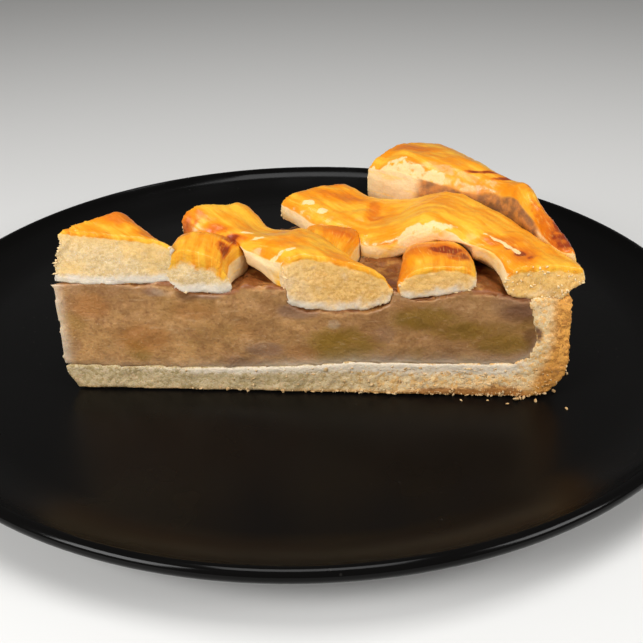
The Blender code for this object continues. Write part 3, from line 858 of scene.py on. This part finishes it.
def shape_strip(node, facts):
    """A soft strip with frayed cuts, sagging and bulging where the slice shows it."""
    piece = remeshed_copy(node, node.replace("strip", "lattice"), STRIP_VOXEL)
    mesh = piece.data
    cut, _ = cut_share(mesh)
    u, v, z = pie_places(mesh)
    set_group(piece, "skin", (1.0 - cut) * (1.0 - smooth_step(z, TOP_HEIGHT, TOP_HEIGHT + 1.8)))
    set_group(piece, "tip", 1.0 - smooth_step(u, *TIP_ENDS))
    soften(piece, "skin", STRIP_SMOOTHING)
    push(piece, "skin", STRIP_SWELL)
    push(piece, "tip", STRIP_TIP_PULL, "X")
    u, v, z = pie_places(mesh)
    _, high = cut_edges(u, v, z, cut)
    drip = facts["drip"]
    rounded = (1.0 - smooth_step(high - z, drip, 2.0 * drip)) * cut * (drip > ROUNDED_FROM)
    set_group(piece, "rounded", rounded)
    soften(piece, "rounded", ROUNDING)
    low, high = cut_edges(u, v, z, cut)
    cut, _ = cut_share(mesh)
    _, _, up = pie_normals(mesh)
    u, v, z = pie_places(mesh)
    coated = patches(u, v, facts.get("coated", ()))
    glazed = np.maximum(smooth_step(up, *GLAZED_FACING), coated) * (1.0 - cut)
    rough = np.maximum(cut, (1.0 - glazed) * 0.6)
    set_group(piece, "crumb", rough)
    set_group(piece, "glazed", glazed)
    set_group(piece, "below_top", 1.0 - smooth_step(z, TOP_HEIGHT - 1.0, TOP_HEIGHT + 1.5))
    edge = np.clip(1.0 - np.abs(cut - 0.5) * 1.6, 0.0, 1.0)
    set_group(piece, "edge", edge * (cut > 0.02) * (z < TOP_HEIGHT))
    for name, (size, depth, group) in STRIP_RELIEF.items():
        relief(piece, "%s_%s" % (node, name), "CLOUDS", size, depth, group)
    for number, (push_u, push_v, push_z, reach, axis, distance) in enumerate(facts["pushed"]):
        away = np.sqrt((u - push_u) ** 2 + (v - push_v) ** 2 + (z - push_z) ** 2)
        group = "pushed_%d" % number
        set_group(piece, group, 1.0 - smooth_step(away, reach * PUSH_FULL, reach * PUSH_END))
        push(piece, group, distance * 0.001, axis)
    along, across, _ = lane_places(u, v, facts["line"])
    set_attribute(mesh, "cut", cut)
    set_attribute(mesh, "glazed", glazed)
    fades = (1.0 - 0.4 * smooth_step(u, 48.0, 75.0)) * (1.0 - 0.75 * smooth_step(u, 104.0, 112.0))
    set_attribute(mesh, "low", (1.0 - smooth_step(z - low, 0.8, 3.4)) * fades)
    set_attribute(mesh, "high", np.exp(-np.abs(high - z) / 2.2))
    over = (1.0 - smooth_step(high - z, 0.2 * drip, 1.5 * drip)) * smooth_step(z - low, 1.5, 5.0)
    set_attribute(mesh, "runs_over", np.maximum(over, patches(u, z, facts.get("glazed_cut", ())) * cut))
    set_attribute(mesh, "rim_side", smooth_step(u, 45.0, 72.0))
    for kind in ("scorched", "orange", "darker_side"):
        set_attribute(mesh, kind, patches(u, v, facts.get(kind, ())))
    # Pale marks: bare dough, and painted highlights, which are strip_over_2's streaks and strip_over_3's
    # crease line
    bare_and_highlight = patches(u, v, facts.get("bare_and_highlight", ()))
    if "fold_and_highlight" in facts:
        _, _, away = lane_places(u, v, facts["fold_and_highlight"])
        bare_and_highlight = np.maximum(bare_and_highlight, 1.0 - smooth_step(away, 0.2, facts["fold_and_highlight_width"]))
    bare_above = facts.get("bare_above", 0.0)
    set_attribute(mesh, "bare_and_highlight", bare_and_highlight * smooth_step(z, bare_above - 0.6, bare_above + 0.6))
    set_attribute(mesh, "along", along)
    set_attribute(mesh, "across", across)
    return piece


def egg_glazed_dough():
    """Egg glaze with its brush strokes and painted highlight streaks on top, flaky sides left without
    glaze, and crumb on the cuts.
    """
    material, tree, shader, place = new_material("egg_glazed_dough")
    lane = add(tree, "ShaderNodeCombineXYZ", {0: read(tree, "along"), 1: read(tree, "across")}).outputs[0]
    stroke = streaks(tree, lane, (0.06, 0.42, 1.0), 4.0)
    cloud = noise(tree, place, 95.0, 4.0)
    height, shade = add_crumb(tree, place, DOUGH_GRAINS)
    wrinkle = noise(tree, place, 430.0, 5.0)
    baked = plus(tree, times(tree, stroke, 0.55), times(tree, cloud, 0.45))
    deep = plus(tree, baked, times(tree, read(tree, "orange"), 0.26))
    top = blend(tree, ease(tree, deep, 0.39, 0.6), GOLD, ORANGE)
    top = lay(tree, top, deep, 0.6, 0.78, 0.7, AMBER)
    fray = swing(tree, wrinkle, 0.5, 1.1)
    scorch = frayed(tree, "scorched", swing(tree, baked, 0.5, 1.6))
    scorch = plus(tree, scorch, fray)
    top = lay(tree, top, scorch, 0.3, 0.7, 0.9, AMBER)
    top = lay(tree, top, scorch, 0.65, 1.0, 0.95, SCORCH)
    brush = streaks(tree, lane, (0.25, 2.6, 1.0), 3.0)
    top = lay(tree, top, brush, 0.52, 0.72, 0.28, AMBER)
    top = lay(tree, top, brush, 0.44, 0.26, 0.35, GLAZE_LIGHT)
    speck = noise(tree, place, 2300.0, 2.0)
    # The pale marks: floury bare dough, and painted highlights in the same pale colour
    floury_and_highlight = blend(tree, ease(tree, speck, 0.46, 0.3, 0.0, 0.55), BARE_AND_HIGHLIGHT, CUT_GOLD)
    bare_and_highlight = frayed(tree, "bare_and_highlight", swing(tree, cloud, 0.5, 1.2))
    torn = times(tree, fray, ease(tree, read(tree, "bare_and_highlight"), 0.0, 0.3, 0.0, 3.0))
    unglazed_and_highlight = ease(tree, plus(tree, bare_and_highlight, torn), 0.4, 0.8, 0.0, 0.9)
    top = blend(tree, unglazed_and_highlight, top, floury_and_highlight)
    wobble = swing(tree, cloud, 0.5, 0.9)
    glazed = ease(tree, frayed(tree, "glazed", wobble), 0.25, 0.7)
    cream = blend(tree, ease(tree, shade, 0.36, 0.6), CUT_SHADE, CUT_CREAM)
    cream = lay(tree, cream, speck, 0.56, 0.72, 0.6, CUT_WHITE)
    cream = lay(tree, cream, speck, 0.42, 0.28, 0.5, CUT_PIT)
    cream = lay(tree, cream, cloud, 0.54, 0.68, 0.45, CUT_WHITE)
    cream = lay(tree, cream, cloud, 0.46, 0.32, 0.4, CUT_GOLD)
    side = blend(tree, ease(tree, cloud, 0.45, 0.7), SIDE_PALE, GOLD)
    layers = streaks(tree, place, (70.0, 70.0, 620.0), 4.0)
    side = blend(tree, unglazed_and_highlight, side, floury_and_highlight)
    side = lay(tree, side, layers, 0.52, 0.64, 0.6, CUT_GOLD)
    side = lay(tree, side, layers, 0.46, 0.36, 0.5, BARE_AND_HIGHLIGHT)
    # A brown band on some sides: a juice stain on strip_under_3, a brown band on strip_over_4
    side_brown = blend(tree, ease(tree, wrinkle, 0.36, 0.66), FILLING_JUICE_AND_SHADE, SIDE_BROWN)
    side = lay(tree, side, read(tree, "darker_side"), 0.2, 0.8, 0.85, side_brown)
    toasted = blend(tree, ease(tree, shade, 0.36, 0.6), CUT_TOASTED, CUT_AMBER)
    cream = blend(tree, times(tree, read(tree, "rim_side"), 0.75), cream, toasted)
    ragged = swing(tree, wrinkle, 0.5, 1.4)
    cut_colour = blend(tree, times(tree, read(tree, "high"), 0.8), cream, CUT_GOLD)
    floured = frayed(tree, "low", ragged)
    cut_colour = lay(tree, cut_colour, floured, 0.0, 1.0, 0.9, CUT_WHITE)
    dripped = frayed(tree, "runs_over", ragged)
    cut_colour = blend(tree, ease(tree, dripped, 0.35, 0.85), cut_colour, top)
    colour = blend(tree, glazed, side, top)
    crumbled = frayed(tree, "cut", times(tree, ragged, 0.5))
    colour = blend(tree, ease(tree, crumbled, 0.25, 0.65), colour, cut_colour)
    set_all_over(shader, DOUGH_LOOK)
    inverse = calc(tree, "SUBTRACT", 1.0, glazed)
    dull = plus(tree, inverse, times(tree, unglazed_and_highlight, 0.6))
    rough = ease(tree, plus(tree, dull, times(tree, stroke, 0.3)), 0.1, 1.0, 0.32, 0.85)
    mixed = plus(tree, times(tree, height, inverse), times(tree, stroke, 0.55))
    mixed = plus(tree, mixed, times(tree, wrinkle, 0.9))
    bump = add(tree, "ShaderNodeBump", {"Height": mixed, "Strength": 0.45, "Distance": 0.00035})
    coated = calc(tree, "SUBTRACT", glazed, unglazed_and_highlight)
    coat = times(tree, coated, ease(tree, cloud, 0.4, 0.6, 0.06, 0.32))
    wire(tree, shader, base=colour, rough=rough, normal=bump.outputs[0], coat=coat)
    return material


dough = egg_glazed_dough()
lattice = []
for strip_node, strip_facts in STRIPS.items():
    lattice.append(shape_strip(strip_node, strip_facts))
    finish_piece(lattice[-1], dough, [strip_node])

# The crumbs
# Small grains that broke off when the slice was cut: many still hang on the crust and
# along the cut edges of the strips, and a few lie on the plate below.
CRUMB_SIZES = (0.00018, 0.00052)
# Few are near the largest size, the more so the higher this is
CRUMB_RARITY = 2.6
# They lie closer towards the wall, by this power of the way along the slice
CRUMB_THICKENING = 2
# How deep they sit in the dough, in metres
CRUMB_SEATING = 0.00008
END_CRUMB_SEATING = 0.0001
# How deep they sit in the crust, and how high on the plate, as shares of their radius
CRUST_SINKING = 0.1
LOOSE_RISE = 0.7
# Heights in mm between which they lie on the wall, the base's cuts and the foot of these
WALL_HEIGHTS = (1.5, 28.0)
CUT_HEIGHTS = (0.3, 8.5)
FOOT_HEIGHTS = (0.1, 1.1)
CRUMBS_ON_WALL = 800
CRUMBS_ON_CUT = 420
CRUMBS_ON_FOOT = 320
CRUMBS_ON_EDGES = 45
CRUMBS_ON_END = 90
# Loose ones beside the crust: u, v, radius in mm
LOOSE_CRUMBS = (
    (118.5, -1.5, 0.8), (119.6, -0.9, 0.55), (120.6, -0.5, 0.6), (116, -3.4, 0.4), (111, -2, 0.35),
    (129, 3, 0.6), (104, -2.2, 0.35), (123.5, -1.8, 0.4), (131, -5, 0.35), (134, 12, 0.5),
    (133, 24, 0.45), (127, 50, 0.4),
)
CRUMB_GRAINS = 1600.0
CRUMB_TAN = (0.68, 0.48, 0.25, 1.0)
CRUMB_BROWN = (0.52, 0.31, 0.12, 1.0)


def crumb_grain():
    """One small uneven grain, modelled once at a radius of one metre."""
    bpy.ops.object.select_all(action="DESELECT")
    bpy.ops.mesh.primitive_ico_sphere_add(subdivisions=2, radius=1.0)
    grain = bpy.context.object
    relief(grain, "grain_lumps", "CLOUDS", 0.9, 0.9)
    shape = np.array([vertex.co[:] for vertex in grain.data.vertices])
    faces = np.array([polygon.vertices[:] for polygon in grain.data.polygons])
    bpy.data.objects.remove(grain, do_unlink=True)
    return shape, faces


def crumb_size(rng):
    """A radius between the two sizes, small ones being the most common."""
    smallest, largest = CRUMB_SIZES
    return smallest + (largest - smallest) * rng.random() ** CRUMB_RARITY


def crumbs_at(name, places, rng):
    """One mesh with a turned and stretched copy of the grain at every place."""
    shape, faces = crumb_grain()
    points = []
    corners = []
    for number, (centre, size) in enumerate(places):
        axis = Vector((rng.random(), rng.random(), 0.5)).normalized()
        turn = np.array(Matrix.Rotation(rng.uniform(0, math.tau), 3, axis)).T
        stretch = np.array((rng.uniform(0.6, 1.8), rng.uniform(0.6, 1.2), rng.uniform(0.4, 0.8)))
        points.append((shape * stretch) @ turn * size + np.array(centre))
        corners.append(faces + number * len(shape))
    mesh = bpy.data.meshes.new(name)
    mesh.from_pydata(np.concatenate(points).tolist(), [], np.concatenate(corners).tolist())
    mesh.shade_smooth()
    piece = bpy.data.objects.new(name, mesh)
    bpy.context.collection.objects.link(piece)
    return piece


def between(values, low, high):
    """Which values lie between two limits."""
    return (values > low) & (values < high)


def crust_crumb_places(rng):
    """On the wall's outside, on the base's cuts and along their foot, and loose on the plate."""
    mesh = crust.data
    u, v, z = pie_places(mesh)
    cut, _ = cut_share(mesh)
    outside = (np.hypot(u, v) > PIE_RADIUS - 2.0) & (cut < 0.3)
    wall = np.flatnonzero(outside & between(z, *WALL_HEIGHTS))
    face = np.flatnonzero((cut > 0.7) & between(z, *CUT_HEIGHTS) & (u > 20.0))
    foot = np.flatnonzero((cut > 0.2) & between(z, *FOOT_HEIGHTS) & (u > 30.0))
    spots = [int(wall[rng.randrange(len(wall))]) for _ in range(CRUMBS_ON_WALL)]
    for area, count in ((face, CRUMBS_ON_CUT), (foot, CRUMBS_ON_FOOT)):
        weights = (u[area] / PIE_RADIUS) ** CRUMB_THICKENING
        spots += rng.choices(area.tolist(), weights=weights.tolist(), k=count)
    places = []
    for spot in spots:
        size = crumb_size(rng)
        places.append((mesh.vertices[spot].co - mesh.vertices[spot].normal * size * CRUST_SINKING, size))
    for loose_u, loose_v, loose_size in LOOSE_CRUMBS:
        x = TIP[0] + (loose_u * math.cos(YAW) - loose_v * math.sin(YAW)) * 0.001
        y = TIP[1] + (loose_u * math.sin(YAW) + loose_v * math.cos(YAW)) * 0.001
        height = FLOOR_HEIGHT + loose_size * LOOSE_RISE * 0.001
        places.append((Vector((x, y, height)), loose_size * 0.001))
    return places


def dough_crumb_places(rng):
    """Along the edges where the knife went through each strip."""
    places = []
    for strip in lattice:
        cut, _ = cut_share(strip.data)
        _, _, z = pie_places(strip.data)
        runs_over = np.empty(len(z))
        strip.data.attributes["runs_over"].data.foreach_get("value", runs_over)
        in_reach = between(z, z.min() + 1.0, TOP_HEIGHT - 1.0)
        edge = np.flatnonzero(between(cut, 0.3, 0.9) & in_reach & (runs_over < 0.4))
        for _ in range(CRUMBS_ON_EDGES):
            vertex = strip.data.vertices[int(edge[rng.randrange(len(edge))])]
            places.append((vertex.co - vertex.normal * CRUMB_SEATING, crumb_size(rng)))
    return places + wall_end_places(rng)


def wall_end_places(rng):
    """On the near end of the strip that lies over the wall."""
    mesh = lattice[list(STRIPS).index("strip_over_3")].data
    _, near = cut_share(mesh)
    u, _, _ = pie_places(mesh)
    end = np.flatnonzero((near > 0.6) & (u > 112.0))
    picked = [mesh.vertices[int(end[rng.randrange(len(end))])] for _ in range(CRUMBS_ON_END)]
    return [(vertex.co - vertex.normal * END_CRUMB_SEATING, crumb_size(rng)) for vertex in picked]


def crumb_material(name, light, dark):
    """Dry crumb between two colours."""
    material, tree, shader, place = new_material(name)
    height, shade = add_crumb(tree, place, CRUMB_GRAINS)
    patch = noise(tree, place, 420.0, 2.0)
    colour = blend(tree, ease(tree, patch, 0.35, 0.65), dark, light)
    colour = lay(tree, colour, shade, 0.45, 0.3, 0.2, CRUST_BROWN)
    bump = add(tree, "ShaderNodeBump", {"Height": height, "Strength": 0.4, "Distance": 0.0003})
    wire(tree, shader, base=colour, rough=ease(tree, shade, 0.2, 0.8, 0.85, 0.65), normal=bump.outputs[0])
    return material


crumb_luck = random.Random(7)
crust_crumbs = crumbs_at("crust_crumbs", crust_crumb_places(crumb_luck), crumb_luck)
finish_piece(crust_crumbs, crumb_material("crust_crumb", CRUMB_TAN, CRUMB_BROWN), [])
dough_crumbs = crumbs_at("dough_crumbs", dough_crumb_places(crumb_luck), crumb_luck)
finish_piece(dough_crumbs, crumb_material("dough_crumb", CUT_CREAM, SIDE_PALE), [])

# The studio
# A plain pale floor, soft boxes over and beside the plate, and the camera where the
# photograph was taken from.
FLOOR_LOOK = {"Base Color": (0.72, 0.715, 0.70, 1.0), "Roughness": 0.7}
FLOOR_SIZE = 6.0
FLOOR_DROP = 0.0002
AIR_COLOUR = (1.0, 0.99, 0.97, 1.0)
AIR_STRENGTH = 0.16
CAMERA_PLACE = (0.00483, -0.24548, 0.14092)
CAMERA_PITCH = math.radians(28.87)
CAMERA_ROLL = math.radians(-0.88)
CAMERA_FOCAL = 900.0 / 643.0
SENSOR = 36.0
SLICE_MIDDLE = Vector((0.0, 0.0, 0.02))
# Soft boxes: place, side length, watts
SOFT_BOXES = (
    ((-0.42, -0.42, 0.38), 0.3, 3.8),
    ((0.5, -0.3, 0.36), 0.26, 2.1),
    ((0.0, -0.08, 0.7), 0.34, 2.2),
)


def studio_floor():
    """A matte floor just under the plate's foot."""
    bpy.ops.mesh.primitive_plane_add(size=FLOOR_SIZE, location=(0, 0, -FLOOR_DROP))
    floor = bpy.context.object
    floor.name = "studio_floor"
    material, _, shader, _ = new_material("pale_floor")
    set_all_over(shader, FLOOR_LOOK)
    floor.data.materials.append(material)


def soft_box(place, size, watts):
    """A square lamp turned towards the slice."""
    data = bpy.data.lights.new("soft_box", "AREA")
    data.size = size
    data.energy = watts
    lamp = bpy.data.objects.new("soft_box", data)
    lamp.location = place
    lamp.rotation_euler = (SLICE_MIDDLE - Vector(place)).to_track_quat("-Z", "Y").to_euler()
    bpy.context.collection.objects.link(lamp)


def studio_camera():
    """The camera that was fitted to the plate's outline in the photograph."""
    data = bpy.data.cameras.new("camera")
    data.sensor_width = SENSOR
    data.lens = CAMERA_FOCAL * SENSOR
    data.clip_start = 0.01
    camera = bpy.data.objects.new("camera", data)
    tilt = Matrix.Rotation(math.pi / 2 - CAMERA_PITCH, 4, "X")
    roll = Matrix.Rotation(CAMERA_ROLL, 4, "Z")
    camera.matrix_world = Matrix.Translation(CAMERA_PLACE) @ tilt @ roll
    bpy.context.collection.objects.link(camera)
    bpy.context.scene.camera = camera


studio_floor()
for box_place, box_size, box_watts in SOFT_BOXES:
    soft_box(box_place, box_size, box_watts)
studio_camera()
world = bpy.data.worlds.new("studio_air")
world.use_nodes = True
world.node_tree.nodes["Background"].inputs[0].default_value = AIR_COLOUR
world.node_tree.nodes["Background"].inputs[1].default_value = AIR_STRENGTH
bpy.context.scene.world = world
bpy.context.scene.view_settings.view_transform = "Standard"
